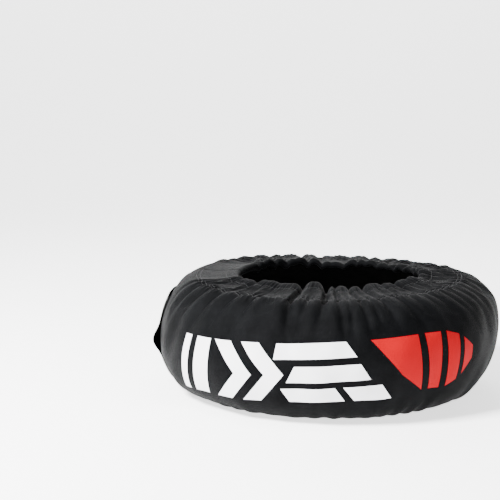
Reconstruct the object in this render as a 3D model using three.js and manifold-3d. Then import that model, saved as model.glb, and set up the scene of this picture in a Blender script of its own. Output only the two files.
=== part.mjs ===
// Motorcycle tyre warmer: a padded, electrically heated strip closed into a ring, lying on the floor.
// Millimetres, +Z up, ring axis on Z, floor at Z = 0. Negative Y is the printed front.

import * as THREE from 'three';
import { mergeVertices } from 'three/addons/utils/BufferGeometryUtils.js';
import Module from 'manifold-3d';

// Section of the ring: two quarter ellipses make the padded band, and a gathered skirt closes each side
const SEAM_RADIUS = 242;
const BELLY_REACH = 72;
const BELLY_HEIGHT = 108;
const SHOULDER_RISE = 98;
const UPPER_SKIRT_WIDTH = 69;
const UPPER_HEM_LIFT = 2;
const UPPER_SKIRT_SAG = 3;
const LOWER_SKIRT_WIDTH = 62;
const UPPER_HEM_RADIUS = SEAM_RADIUS - UPPER_SKIRT_WIDTH;
const LOWER_HEM_RADIUS = SEAM_RADIUS - LOWER_SKIRT_WIDTH;
const AXIS_X = 5.9;
const AXIS_Y = -0.6;

// Cloth and padding
const COVER_THICKNESS = 1.5;
const SKIRT_THICKNESS = 1.3;
const FELT_THICKNESS = 5;
const HEATER_THICKNESS = 1.2;
const LINING_THICKNESS = 1.2;
const LAYER_GAP = 0.4;
const SEAM_GAP = 0.3;

// Elastic hems
const HEM_RETURN = 17;
const ELASTIC_WIDTH = 9;
const ELASTIC_THICKNESS = 4;
const HEM_GAP = 0.9;
const HEM_TURN = SKIRT_THICKNESS + HEM_GAP + ELASTIC_THICKNESS / 2;

// Creases of the gathered upper seam, in front: degrees from the front towards +X, depth, half width in degrees,
// share of the shoulder that each runs down, and its sideways drift on the way, in degrees
const FRONT_CREASES = [
  [-76, 6, 2.4, 1.1, -7],
  [-68, 8, 2.2, 0.9, -8],
  [-59, 5, 2.6, 1.2, -9],
  [-50, 8, 2.4, 0.9, -9],
  [-40, 10, 2.0, 0.8, -10],
  [-31, 4, 2.2, 0.4, -5],
  [-21.5, 11, 1.5, 0.75, 3],
  [-15, 5, 1.6, 0.7, -7],
  [-8.5, 9, 1.4, 0.4, 1],
  [-3.5, 4, 1.4, 0.5, -2],
  [1.0, 8, 1.2, 0.55, 1],
  [4.5, 6, 1.1, 0.7, 0.5],
  [9.5, 8, 1.3, 0.5, 2],
  [13.5, 5, 1.2, 0.35, 3],
  [18, 8, 1.4, 0.45, 5],
  [24, 5, 1.3, 0.8, 9],
  [29, 6, 1.4, 0.6, 8],
  [34, 4, 1.3, 1.0, 10],
  [39, 6, 1.5, 0.8, 9],
  [45, 5, 1.4, 1.2, 9],
  [50, 6, 1.5, 0.9, 7],
  [56, 5, 1.6, 1.3, 6],
  [62, 7, 1.6, 1.0, 5],
  [69, 5, 1.7, 1.3, 3],
  [76, 6, 1.8, 1.0, 2],
  [83, 7, 1.7, 1.1, 0],
];
const FIRST_BACK_CREASE = 91;
const LAST_BACK_CREASE = 277;
const BACK_CREASE_STEP = 8.2;

// Puffs between the creases, and the slow waves of a soft ring that stands by itself
const SHOULDER_PUFF = 3.5;
const SEAM_DIP = 2.2;
const RUFFLE_WAVE = 5;
const RUFFLE_PUFF = 6;
const RUFFLE_BUMP = 6;
const RUFFLE_BUMP_AT = -30;
const RUFFLE_BUMP_WIDTH = 16;
const FLOOR_PLEAT_COUNT = 12;
const FLOOR_PLEAT_DEPTH = 4;
const RIM_WAVE = 0.016;
const OVAL_WAVE = 3;
const LEAN = 20;

// Closure, where the two ends of the strip meet edge to edge under a flap
const CLOSURE_ANGLE = THREE.MathUtils.degToRad(168);
const END_GAP = 3;
const FLAP_ROOT = 34;
const FLAP_REACH = 84;
const FLAP_LIFT = 12.4;
const FLAP_LIFT_LENGTH = 22;
const FLAP_CORNER = 14;
const LOOP_THICKNESS = 1.2;
const HOOK_THICKNESS = 1.4;
const TAPE_WIDTH = 46;
const TAB_WIDTH = 25;
const TAB_ROOT = 38;
const TAB_REACH = 46;
const BINDING_THICKNESS = 0.6;
const BINDING_WIDTH = 9;
const BINDING_GAP = 0.3;

// Heating circuit
const HEATER_PASSES = 4;
const HEATER_WIDTH = 12;
const HEATER_END_INSET = 16;
const TERMINAL_BAY_COLUMNS = 2;
const CRIMP_RADIUS = 2.4;
const CRIMP_LENGTH = 16;
const THERMOSTAT_LENGTH = 22;
const THERMOSTAT_WIDTH = 12;
const THERMOSTAT_HEIGHT = 4.4;
const THERMOSTAT_BUTTON_RADIUS = 4.2;
const THERMOSTAT_BUTTON_HEIGHT = 0.8;
const FUSE_RADIUS = 2;
const FUSE_LENGTH = 12;
const WIRE_RADIUS = 1.1;
const WIRE_CLEARANCE = 0.3;

// Grommet where the supply lead passes through the cover
const LEAD_BORE_RADIUS = 3.8;
const GROMMET_NECK_RADIUS = 6.2;
const GROMMET_FLANGE_RADIUS = 10.5;
const GROMMET_FLANGE_THICKNESS = 2;
const GROMMET_BOOT_LENGTH = 9;
const GROMMET_CLEARANCE = 0.35;

// Facets
const BAND_STEPS = 8;
const CORE_STEPS = 40;
const LATHE_STEPS = 16;
const WIDEST_COLUMN = THREE.MathUtils.degToRad(4.3);
const DRIFT_LENGTH = 0.5;

const TURN = Math.PI * 2;

const fabric = (name, color, roughness) => new THREE.MeshStandardMaterial({ name, color, roughness, metalness: 0 });
const coverCloth = fabric('cover_cloth', 0x202123, 0.78);
const skirtCloth = fabric('skirt_cloth', 0x1d1e20, 0.8);
const liningCloth = fabric('lining_cloth', 0x121213, 0.9);
const feltPadding = fabric('felt_padding', 0xb9b4a8, 1);
const carbonTape = fabric('carbon_tape', 0x2b2b2d, 0.6);
const tapeCloth = fabric('hook_and_loop', 0x0c0c0d, 0.95);
const elasticCloth = fabric('elastic', 0x17171a, 0.85);
const blackRubber = fabric('black_rubber', 0x101011, 0.55);
const wireSleeve = fabric('wire_sleeve', 0x1a1a1a, 0.5);
const phenolic = fabric('phenolic', 0x2a2522, 0.5);
const tinned = new THREE.MeshStandardMaterial({ name: 'tinned_brass', color: 0xb8b6ae, roughness: 0.35, metalness: 1 });

const smooth = (from, to, x) => THREE.MathUtils.smoothstep(x, from, to);
const steps = (count) => Array.from({ length: count + 1 }, (_, i) => i / count);
const between = (from, to, count) => steps(count).map((share) => from + (to - from) * share);

// Slow waves: the ring is a little oval, its rim rises and dips, and its belly sags to one side
const rimWave = (angle) => RIM_WAVE * (0.6 * Math.sin(2 * angle + 2.6) + 0.4 * Math.sin(3 * angle + 0.5));
const ovalWave = (angle) => OVAL_WAVE * (0.6 * Math.cos(2 * angle + 0.4) + 0.4 * Math.sin(3 * angle + 2.1));
const SEAM_HEIGHT = BELLY_HEIGHT + SHOULDER_RISE;

function onRing(radius, height, angle) {
  const r = radius + ovalWave(angle);
  const lean = LEAN * Math.cos(angle) * Math.sin(Math.PI * THREE.MathUtils.clamp(height / SEAM_HEIGHT, 0, 1));
  const z = height * (1 + rimWave(angle)) + lean;
  return new THREE.Vector3(AXIS_X + r * Math.cos(angle), AXIS_Y + r * Math.sin(angle), z);
}

// Gathers calm down where the closure flattens the cloth
const CALM_INNER = 0.3;
const CALM_OUTER = 0.52;

function fromClosure(angle) {
  const turned = THREE.MathUtils.euclideanModulo(angle - CLOSURE_ANGLE + Math.PI, TURN) - Math.PI;
  return Math.abs(turned);
}

const calm = (angle) => smooth(CALM_INNER, CALM_OUTER, fromClosure(angle));

// Creases round the back are of the same kind, with sizes that vary by waves
function backCrease(k) {
  return [
    FIRST_BACK_CREASE + BACK_CREASE_STEP * k + 1.3 * Math.sin(2.1 * k),
    6.5 + 2.5 * Math.sin(1.7 * k + 1),
    1.8 + 0.4 * Math.sin(2.9 * k),
    0.9 + 0.3 * Math.sin(1.1 * k),
    4 * Math.sin(0.9 * k),
  ];
}

const backCount = Math.floor((LAST_BACK_CREASE - FIRST_BACK_CREASE) / BACK_CREASE_STEP) + 1;
const backCreases = Array.from({ length: backCount }, (_, k) => backCrease(k));
const halfGap = END_GAP / 2 / SEAM_RADIUS;
const stripStart = CLOSURE_ANGLE + halfGap;
const stripEnd = CLOSURE_ANGLE + TURN - halfGap;
const alongStrip = (front) =>
  stripStart + THREE.MathUtils.euclideanModulo(THREE.MathUtils.degToRad(front - 90) - stripStart, TURN);
const creases = [...FRONT_CREASES, ...backCreases]
  .map(([front, deep, wide, long, drift]) => {
    const turn = THREE.MathUtils.degToRad(drift);
    return { at: alongStrip(front), deep, wide: THREE.MathUtils.degToRad(wide), long, drift: turn };
  })
  .sort((a, b) => a.at - b.at);

// Depth of the creases at an angle; down is the share of the shoulder below the seam, up that of the skirt above it
function creaseDepth(angle, down, up) {
  const parts = creases.map(({ at, deep, wide, long, drift }) => {
    const away = THREE.MathUtils.euclideanModulo(angle - at - drift * down + Math.PI, TURN) - Math.PI;
    const fade = 1 - smooth(long * 0.1, long * 1.2, down);
    const width = wide * (1 + 0.9 * down + 0.35 * up);
    return deep * fade * (1 + 0.45 * up) * Math.exp(-(Math.abs(away / width) ** 1.4));
  });
  return calm(angle) * parts.reduce((sum, part) => sum + part, 0);
}

// Sideways run of the creases, between two neighbours by the share of the way
function drift(angle) {
  const next = creases.findIndex((crease) => crease.at > angle);
  if (next < 1) return 0;
  const [before, after] = [creases[next - 1], creases[next]];
  const share = (angle - before.at) / (after.at - before.at);
  return calm(angle) * THREE.MathUtils.lerp(before.drift, after.drift, share);
}

// Slow rise and fall of the upper hem
function ruffle(angle) {
  const front = THREE.MathUtils.radToDeg(THREE.MathUtils.euclideanModulo(angle + Math.PI / 2 + Math.PI, TURN) - Math.PI);
  const bump = Math.exp(-(((front - RUFFLE_BUMP_AT) / RUFFLE_BUMP_WIDTH) ** 2));
  const wave = 0.5 * Math.sin(7 * angle + 0.7) + 0.5 * Math.sin(11 * angle + 2.0);
  return (RUFFLE_WAVE * wave + RUFFLE_BUMP * bump + RUFFLE_PUFF) * calm(angle);
}

const floorPleat = (angle) => FLOOR_PLEAT_DEPTH * calm(angle) * (0.5 + 0.5 * Math.cos(FLOOR_PLEAT_COUNT * angle));

// A section is a list of stations, each a point in radius and height with its outward normal
const station = (x, y, nx, ny) => ({ point: new THREE.Vector2(x, y), normal: new THREE.Vector2(nx, ny) });

function stationsOn(curve, shares) {
  return shares.map((share) => {
    const p = curve.getPoint(share);
    const t = curve.getTangent(share);
    return station(p.x, p.y, t.y, -t.x);
  });
}

function sample(stations, s) {
  const low = Math.min(Math.floor(s), stations.length - 2);
  const share = s - low;
  const point = stations[low].point.clone().lerp(stations[low + 1].point, share);
  const normal = stations[low].normal.clone().lerp(stations[low + 1].normal, share);
  return { point, normal };
}

function surfacePoint(stations, s, angle, offset, rise = 0) {
  const { point, normal } = sample(stations, s);
  return onRing(point.x + normal.x * offset, point.y + normal.y * offset + rise, angle);
}

const spacing = (stations, s) => {
  const low = Math.min(Math.floor(s), stations.length - 2);
  return stations[low].point.distanceTo(stations[low + 1].point);
};

// Padded band: lower and upper quarter ellipse, from the floor seam round the belly to the upper seam
const quarter = BAND_STEPS / 2;
const lowerQuarter = new THREE.EllipseCurve(SEAM_RADIUS, BELLY_HEIGHT, BELLY_REACH, BELLY_HEIGHT, -Math.PI / 2, 0);
const upperQuarter = new THREE.EllipseCurve(SEAM_RADIUS, BELLY_HEIGHT, BELLY_REACH, SHOULDER_RISE, 0, Math.PI / 2);
const bandStations = [
  ...stationsOn(lowerQuarter, steps(quarter)),
  ...stationsOn(upperQuarter, steps(quarter).slice(1)),
];
const lastBand = BAND_STEPS;

// A hem turns the skirt's end back under itself, so that the cloth makes a channel for the elastic
function hem(end, along) {
  const out = end.normal;
  const at = (forward, inward) => end.point.clone().addScaledVector(along, forward).addScaledVector(out, -inward);
  const tip = at(HEM_TURN, HEM_TURN);
  const back = at(0, 2 * HEM_TURN);
  const edge = at(-HEM_RETURN, 2 * HEM_TURN);
  return [
    station(tip.x, tip.y, along.x, along.y),
    station(back.x, back.y, -out.x, -out.y),
    station(edge.x, edge.y, -out.x, -out.y),
  ];
}

const skirtRun = SEAM_RADIUS - SEAM_GAP;
const skirtMiddle = (SEAM_RADIUS + UPPER_HEM_RADIUS) / 2;
const upperCurve = new THREE.QuadraticBezierCurve(
  new THREE.Vector2(skirtRun, SEAM_HEIGHT),
  new THREE.Vector2(skirtMiddle, SEAM_HEIGHT - UPPER_SKIRT_SAG),
  new THREE.Vector2(UPPER_HEM_RADIUS, SEAM_HEIGHT + UPPER_HEM_LIFT),
);
const SKIRT_STEPS = 3;
const upperTop = stationsOn(upperCurve, steps(SKIRT_STEPS));
upperTop[0].normal.set(0, 1);
const upperInward = upperCurve.getTangent(1);
const upperSkirt = [...upperTop, ...hem(upperTop[SKIRT_STEPS], upperInward)];

const returnEdge = LOWER_HEM_RADIUS + HEM_RETURN;
const floorRadii = [skirtRun, (skirtRun + returnEdge) / 2, returnEdge, LOWER_HEM_RADIUS];
const lowerFloor = floorRadii.map((radius) => station(radius, 0, 0, -1));
const lowerInward = new THREE.Vector2(-1, 0);
const lowerSkirt = [...lowerFloor, ...hem(lowerFloor[lowerFloor.length - 1], lowerInward)].reverse();
const lastUpper = upperSkirt.length - 1;
const lastLower = lowerSkirt.length - 1;
const pleatStation = lastLower - 1;
const lowerHemStation = lastLower - 3;

// Builds a closed body from rings of points, capped at both ends; outline is the section seen flat
function solidFromRings(rings, outline) {
  const size = rings[0].length;
  const positions = rings.flat().flatMap((p) => [p.x, p.y, p.z]);
  const faces = [];
  for (let i = 0; i + 1 < rings.length; i += 1) {
    for (let k = 0; k < size; k += 1) {
      const next = (k + 1) % size;
      const a = i * size + k;
      const b = (i + 1) * size + k;
      const c = (i + 1) * size + next;
      const d = i * size + next;
      faces.push(a, b, c, a, c, d);
    }
  }
  const inHalfPlane = (ring) => ring.map((p) => new THREE.Vector2(Math.hypot(p.x, p.y), p.z));
  const given = outline && outline.map(([x, y]) => new THREE.Vector2(x, y));
  const cap = (ring) => {
    const contour = given || inHalfPlane(ring);
    const triangles = THREE.ShapeUtils.triangulateShape(contour, []);
    return THREE.ShapeUtils.isClockWise(contour) ? triangles.map(([a, b, c]) => [a, c, b]) : triangles;
  };
  const last = (rings.length - 1) * size;
  for (const [a, b, c] of cap(rings[0])) faces.push(a, b, c);
  for (const [a, b, c] of cap(rings[rings.length - 1])) faces.push(last + a, last + c, last + b);
  const geometry = new THREE.BufferGeometry();
  geometry.setAttribute('position', new THREE.Float32BufferAttribute(positions, 3));
  geometry.setIndex(faces);
  geometry.computeVertexNormals();
  return geometry;
}

// A layer of cloth or padding: an outer and an inner offset at each station, swept through angles
function layer(stations, run, angles, outer, inner, rise = () => 0, turn = () => 0) {
  const side = (list, offset, angle) =>
    list.map((s) => {
      const at = angle + turn(s, angle);
      return surfacePoint(stations, s, at, offset(s, at), rise(s, at));
    });
  const back = [...run].reverse();
  return solidFromRings(angles.map((angle) => [...side(run, outer, angle), ...side(back, inner, angle)]));
}

const indices = (last) => Array.from({ length: last + 1 }, (_, i) => i);
const coreAngles = between(stripStart, stripEnd, CORE_STEPS);

// The cover's columns stand on the creases and at even steps between them
const creaseMarks = [stripStart, ...creases.map((crease) => crease.at), stripEnd];
const coverAngles = creaseMarks.flatMap((mark, i) => {
  if (i === 0) return [mark];
  const count = Math.max(2, Math.ceil((mark - creaseMarks[i - 1]) / WIDEST_COLUMN));
  return between(creaseMarks[i - 1], mark, count).slice(1);
});
const downShare = (s) => (lastBand - s) / quarter;
const upShare = (s) => Math.min(s / SKIRT_STEPS, 1);
const bandDrift = (s, angle) => drift(angle) * Math.min(downShare(s), DRIFT_LENGTH) * smooth(0, quarter, s);

function bandRelief(s, angle) {
  const puff = SHOULDER_PUFF * smooth(quarter, lastBand - 1, s) - (s === lastBand ? SEAM_DIP : 0);
  return puff * calm(angle) - creaseDepth(angle, downShare(s), 0);
}

function skirtRelief(s, angle) {
  if (s === lastUpper) return hemRelief(HEM_RETURN, angle);
  const puff = SHOULDER_PUFF - (s === 0 ? SEAM_DIP : 0);
  return puff * calm(angle) + upShare(s) * ruffle(angle) - creaseDepth(angle, 0, upShare(s));
}

// Near the hem: the relief at a distance back from its end, on the flat between the last two stations
function hemRelief(back, angle) {
  const share = back / spacing(upperSkirt, SKIRT_STEPS - 1);
  return THREE.MathUtils.lerp(skirtRelief(SKIRT_STEPS, angle), skirtRelief(SKIRT_STEPS - 1, angle), share);
}

// Under the creases the padding and the lining keep clear of the deepest one at each station
const CORE_LEAD = 0.1;
const deepest = indices(lastBand).map((s) => Math.max(...coverAngles.map((a) => -bandRelief(s, a + bandDrift(s, a)))));
const coreCalm = (angle) => smooth(CALM_INNER - CORE_LEAD, CALM_OUTER - CORE_LEAD, fromClosure(angle));
const tuck = (s, angle) => deepest[s] * coreCalm(angle);

const feltOuter = COVER_THICKNESS + LAYER_GAP;
const feltInner = feltOuter + FELT_THICKNESS;
const heaterOuter = feltInner + LAYER_GAP;
const heaterInner = heaterOuter + HEATER_THICKNESS;
const liningOuter = heaterInner + LAYER_GAP;

function coverBand() {
  const inner = (s, angle) => bandRelief(s, angle) - COVER_THICKNESS;
  return layer(bandStations, indices(lastBand), coverAngles, bandRelief, inner, () => 0, bandDrift);
}

function upperSkirtCloth() {
  return layer(upperSkirt, indices(lastUpper), coverAngles, () => 0, () => -SKIRT_THICKNESS, skirtRelief);
}

function lowerSkirtCloth() {
  const inner = (s, angle) => -SKIRT_THICKNESS - (s === pleatStation ? floorPleat(angle) : 0);
  return layer(lowerSkirt, indices(lastLower), coreAngles, () => 0, inner);
}

// Flat elastic in the middle of a hem's channel; its rise is given by angle and by distance back from the hem's end
function elastic(hemEnd, inward, angles, rise) {
  const middle = hemEnd.point.clone().addScaledVector(hemEnd.normal, -HEM_TURN);
  const corner = (back, up) => {
    const p = middle.clone().addScaledVector(inward, -back);
    return { back, point: p.addScaledVector(hemEnd.normal, (up * ELASTIC_THICKNESS) / 2) };
  };
  const far = LAYER_GAP + ELASTIC_WIDTH;
  const corners = [corner(far, -1), corner(far, 1), corner(LAYER_GAP, 1), corner(LAYER_GAP, -1)];
  const order = hemEnd.normal.y > 0 ? corners : corners.reverse();
  const place = ({ back, point }, angle) => onRing(point.x, point.y + rise(angle, back), angle);
  return solidFromRings(angles.map((angle) => order.map((item) => place(item, angle))));
}

const upperElastic = () =>
  elastic(upperSkirt[SKIRT_STEPS], upperInward, coverAngles, (angle, back) => hemRelief(back, angle));
const lowerElastic = () => elastic(lowerSkirt[lowerHemStation], lowerInward, coreAngles, () => 0);

// Felt stops short of the terminal bay at the strip's far end
function felt() {
  const run = indices(lastBand).slice(1, lastBand);
  const angles = coreAngles.slice(0, CORE_STEPS + 1 - TERMINAL_BAY_COLUMNS);
  const outer = (s, angle) => -feltOuter - tuck(s, angle);
  return layer(bandStations, run, angles, outer, (s, angle) => outer(s, angle) - FELT_THICKNESS);
}

// The lining is pinched against the cover at both seams, where it is sewn in
const liningFace = (s) => (s === 0 || s === lastBand ? feltOuter : liningOuter);

function lining() {
  const outer = (s, angle) => -liningFace(s) - tuck(s, angle);
  const inner = (s, angle) => outer(s, angle) - LINING_THICKNESS;
  return layer(bandStations, indices(lastBand), coreAngles, outer, inner);
}

// The core's lattice: a point part way between two stations and two core angles, on the flat between them
function corePoint(s, column, depth) {
  const left = THREE.MathUtils.clamp(Math.floor(column), 0, CORE_STEPS - 1);
  const low = Math.min(Math.floor(s), lastBand - 1);
  const corner = (i, k) => surfacePoint(bandStations, i, coreAngles[k], -depth - tuck(i, coreAngles[k]));
  const row = (i) => corner(i, left).lerp(corner(i, left + 1), column - left);
  return row(low).lerp(row(low + 1), s - low);
}

const columnLength = ((stripEnd - stripStart) / CORE_STEPS) * (SEAM_RADIUS + BELLY_REACH);

// Stations half way between two facets' edges, one for each pass of the heating tape
const firstPass = (lastBand - HEATER_PASSES + 1) / 2;
const passStation = (pass) => firstPass + pass;
const bayColumn = CORE_STEPS - TERMINAL_BAY_COLUMNS;
const turnColumn = HEATER_END_INSET / columnLength;
const tailColumn = bayColumn + HEATER_END_INSET / columnLength;
const farTurnColumn = bayColumn - HEATER_END_INSET / columnLength;

// Middle line of the heating tape, as a station and a column: to and fro along the strip
function heaterRoute() {
  const route = [];
  const whole = (from, to) => {
    const low = Math.ceil(Math.min(from, to) + 0.1);
    const high = Math.floor(Math.max(from, to) - 0.1);
    const inside = Array.from({ length: Math.max(0, high - low + 1) }, (_, i) => low + i);
    return from < to ? [from, ...inside, to] : [from, ...inside.reverse(), to];
  };
  for (let pass = 0; pass < HEATER_PASSES; pass += 1) {
    const outward = pass % 2 === 0;
    const from = pass === 0 ? tailColumn : outward ? farTurnColumn : turnColumn;
    const to = pass === HEATER_PASSES - 1 ? tailColumn : outward ? turnColumn : farTurnColumn;
    for (const column of whole(from, to)) route.push([passStation(pass), column]);
    if (pass < HEATER_PASSES - 1) route.push([passStation(pass) + 0.5, to]);
  }
  return route;
}

function heatingTape() {
  const route = heaterRoute();
  const heading = (from, to) => [Math.sign(to[0] - from[0]), Math.sign(to[1] - from[1])];
  const rings = route.map((here, i) => {
    const before = heading(route[Math.max(0, i - 1)], route[Math.max(1, i)]);
    const after = heading(route[Math.min(route.length - 2, i)], route[Math.min(route.length - 1, i + 1)]);
    const straight = before[0] === after[0];
    const side = straight ? [before[1], -before[0]] : [before[1] + after[1], -before[0] - after[0]];
    const half = HEATER_WIDTH / 2;
    const shift = (sign) => [
      here[0] + (sign * side[0] * half) / spacing(bandStations, here[0]),
      here[1] + (sign * side[1] * half) / columnLength,
    ];
    const [left, right] = [shift(1), shift(-1)];
    return [
      corePoint(...left, heaterOuter),
      corePoint(...right, heaterOuter),
      corePoint(...right, heaterInner),
      corePoint(...left, heaterInner),
    ];
  });
  return ribbonFromRings(rings);
}

// A ribbon's rings are four corners each, so its ends close with two triangles
function ribbonFromRings(rings) {
  const positions = rings.flat().flatMap((p) => [p.x, p.y, p.z]);
  const faces = [];
  for (let i = 0; i + 1 < rings.length; i += 1) {
    for (let k = 0; k < 4; k += 1) {
      const next = (k + 1) % 4;
      const [a, b, c, d] = [i * 4 + k, i * 4 + next, i * 4 + 4 + next, i * 4 + 4 + k];
      faces.push(a, b, c, a, c, d);
    }
  }
  const last = (rings.length - 1) * 4;
  faces.push(0, 2, 1, 0, 3, 2, last, last + 1, last + 2, last, last + 2, last + 3);
  const geometry = new THREE.BufferGeometry();
  geometry.setAttribute('position', new THREE.Float32BufferAttribute(positions, 3));
  geometry.setIndex(faces);
  geometry.computeVertexNormals();
  return geometry;
}

// Closure flap and its hook and loop tapes
const bandAngle = (length) => length / (SEAM_RADIUS + BELLY_REACH);
const flapFrom = CLOSURE_ANGLE - bandAngle(FLAP_ROOT);
const flapTo = CLOSURE_ANGLE + bandAngle(FLAP_REACH);
const tapeFrom = CLOSURE_ANGLE + bandAngle(BINDING_WIDTH + END_GAP);
const tapeTo = tapeFrom + bandAngle(TAPE_WIDTH);
const flapRun = indices(lastBand).slice(2, lastBand - 1);
const tapeRun = flapRun.slice();
const loopOuter = LAYER_GAP + LOOP_THICKNESS;
const hookInner = loopOuter + LAYER_GAP;
const hookOuter = hookInner + HOOK_THICKNESS;
const flapInner = hookOuter + LAYER_GAP;

function flapUnderside(s, angle) {
  const climb = smooth(CLOSURE_ANGLE - bandAngle(FLAP_ROOT / 2), CLOSURE_ANGLE, angle);
  const sink = smooth(tapeTo, flapTo, angle);
  const free = smooth(flapTo - bandAngle(FLAP_LIFT_LENGTH), flapTo, angle);
  const tip = Math.max(0, 1 - Math.abs(s - lastBand / 2));
  return LAYER_GAP + (flapInner - LAYER_GAP) * climb * (1 - sink) + FLAP_LIFT * free * tip;
}

// The flap's free corners are cut off by shortening its outer stations
function closureFlap() {
  const angles = between(flapFrom, flapTo, 12);
  const cut = (s, angle) => {
    const outermost = s === flapRun[0] || s === flapRun[flapRun.length - 1];
    return outermost ? Math.min(angle, flapTo - bandAngle(FLAP_CORNER) * smooth(flapFrom, flapTo, angle)) : angle;
  };
  const ring = (angle) => {
    const side = (list, extra) =>
      list.map((s) => surfacePoint(bandStations, s, cut(s, angle), flapUnderside(s, angle) + extra));
    return [...side(flapRun, COVER_THICKNESS), ...side([...flapRun].reverse(), 0)];
  };
  return solidFromRings(angles.map(ring));
}

const tape = (outer, inner) => layer(bandStations, tapeRun, between(tapeFrom, tapeTo, 4), () => outer, () => inner);

// Binding tape folded round each end of the strip, from seam to seam, over the cover and the lining
function endBinding(end, inward) {
  const outerFace = LAYER_GAP;
  const innerFace = (s) => -liningFace(s) - LINING_THICKNESS - LAYER_GAP;
  const edge = -BINDING_GAP;
  const onCover = (s, length, offset) => surfacePoint(bandStations, s, end + inward * bandAngle(length), offset);
  const onLining = (s, length, offset) => {
    const column = length / columnLength;
    return corePoint(s, inward > 0 ? column : CORE_STEPS - column, -offset);
  };
  const section = (s) => [
    [BINDING_WIDTH, outerFace],
    [edge, outerFace],
    [edge, innerFace(s)],
    [BINDING_WIDTH, innerFace(s)],
    [BINDING_WIDTH, innerFace(s) - BINDING_THICKNESS],
    [edge - BINDING_THICKNESS, innerFace(s) - BINDING_THICKNESS],
    [edge - BINDING_THICKNESS, outerFace + BINDING_THICKNESS],
    [BINDING_WIDTH, outerFace + BINDING_THICKNESS],
  ];
  const inOrder = (s) => (inward > 0 ? section(s).reverse() : section(s));
  const place = (s, [length, offset]) => (offset > 0 ? onCover : onLining)(s, length, offset);
  const ring = (s) => inOrder(s).map((corner) => place(s, corner));
  return solidFromRings(indices(lastBand).slice(1, lastBand).map(ring), inOrder(lastBand / 2));
}

// Tabs that close the two skirts from inside, each over its own loop patch on the strip's other end
const TAB_STEPS = 6;

function tabAngles(radius, from, to) {
  return between(CLOSURE_ANGLE + from / radius, CLOSURE_ANGLE + to / radius, TAB_STEPS);
}

function hemFastening(stations, middleStation) {
  const radius = sample(stations, middleStation).point.x;
  const half = TAB_WIDTH / 2 / spacing(stations, middleStation);
  const run = [middleStation - half, middleStation + half];
  const patchDepth = LAYER_GAP + LOOP_THICKNESS;
  const lap = (s, angle) => smooth(-TAB_ROOT / 2 / radius, 0, angle - CLOSURE_ANGLE);
  const tabDepth = (s, angle) => LAYER_GAP + patchDepth * lap(s, angle);
  const plate = (from, to, near, far) => {
    const face = (depth) => (s, angle) => -SKIRT_THICKNESS - depth(s, angle);
    return layer(stations, run, tabAngles(radius, from, to), face(near), face(far));
  };
  return {
    tab: plate(-TAB_ROOT, TAB_REACH, tabDepth, (s, angle) => tabDepth(s, angle) + HOOK_THICKNESS),
    patch: plate(END_GAP * 2, TAB_REACH - END_GAP * 2, () => LAYER_GAP, () => patchDepth),
  };
}

// Frame of a facet of the core, for pieces that lie in the terminal bay between cover and lining
function facetFrame(s, column, depth) {
  const origin = corePoint(s, column, depth);
  const along = corePoint(s, column + 0.2, depth).sub(corePoint(s, column - 0.2, depth)).normalize();
  const up = corePoint(s + 0.2, column, depth).sub(corePoint(s - 0.2, column, depth));
  const out = new THREE.Vector3().crossVectors(along, up).normalize();
  const across = new THREE.Vector3().crossVectors(out, along);
  return new THREE.Matrix4().makeBasis(along, across, out).setPosition(origin);
}

const bayDepth = (feltOuter + liningOuter) / 2;
const bayMiddleColumn = CORE_STEPS - TERMINAL_BAY_COLUMNS / 2 - 0.5;

// Bimetal thermostat: a flat case with its sensing button towards the lining
function thermostat() {
  const bevel = 0.4;
  const corner = 2.5;
  const x = THERMOSTAT_LENGTH / 2 - bevel;
  const y = THERMOSTAT_WIDTH / 2 - bevel;
  const outline = new THREE.Shape();
  outline.moveTo(-x + corner, -y);
  outline.lineTo(x - corner, -y);
  outline.quadraticCurveTo(x, -y, x, -y + corner);
  outline.lineTo(x, y - corner);
  outline.quadraticCurveTo(x, y, x - corner, y);
  outline.lineTo(-x + corner, y);
  outline.quadraticCurveTo(-x, y, -x, y - corner);
  outline.lineTo(-x, -y + corner);
  outline.quadraticCurveTo(-x, -y, -x + corner, -y);
  const depth = THERMOSTAT_HEIGHT - 2 * bevel;
  const options = { depth, bevelEnabled: true, bevelSize: bevel, bevelThickness: bevel, bevelSegments: 1, curveSegments: 2 };
  const body = new THREE.ExtrudeGeometry(outline, options).translate(0, 0, -depth / 2);
  const button = new THREE.CylinderGeometry(THERMOSTAT_BUTTON_RADIUS, THERMOSTAT_BUTTON_RADIUS, 2 * THERMOSTAT_BUTTON_HEIGHT, 16)
    .rotateX(Math.PI / 2)
    .translate(0, 0, -THERMOSTAT_HEIGHT / 2);
  return join(body, button);
}

// Thermal fuse: a small can with domed ends
function fuse() {
  const half = FUSE_LENGTH / 2;
  const profile = [
    [0, -half],
    [FUSE_RADIUS * 0.7, -half],
    [FUSE_RADIUS, -half * 0.8],
    [FUSE_RADIUS, half * 0.8],
    [FUSE_RADIUS * 0.7, half],
    [0, half],
  ];
  return new THREE.LatheGeometry(profile.map(([r, y]) => new THREE.Vector2(r, y)), LATHE_STEPS).rotateZ(-Math.PI / 2);
}

// Insulated wire from one terminal to another, past waypoints of the core's lattice given as station and column
function jumper(from, waypoints, to) {
  const lead = ([point, direction]) => point.clone().addScaledVector(direction, 2 * WIRE_RADIUS);
  const between = waypoints.map(([s, column]) => corePoint(s, column, bayDepth));
  const curve = new THREE.CatmullRomCurve3([from[0], lead(from), ...between, lead(to), to[0]], false, 'centripetal');
  const section = new THREE.Shape().absarc(0, 0, WIRE_RADIUS, 0, TURN);
  return new THREE.ExtrudeGeometry(section, { extrudePath: curve, steps: 12, curveSegments: 6 });
}

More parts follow.
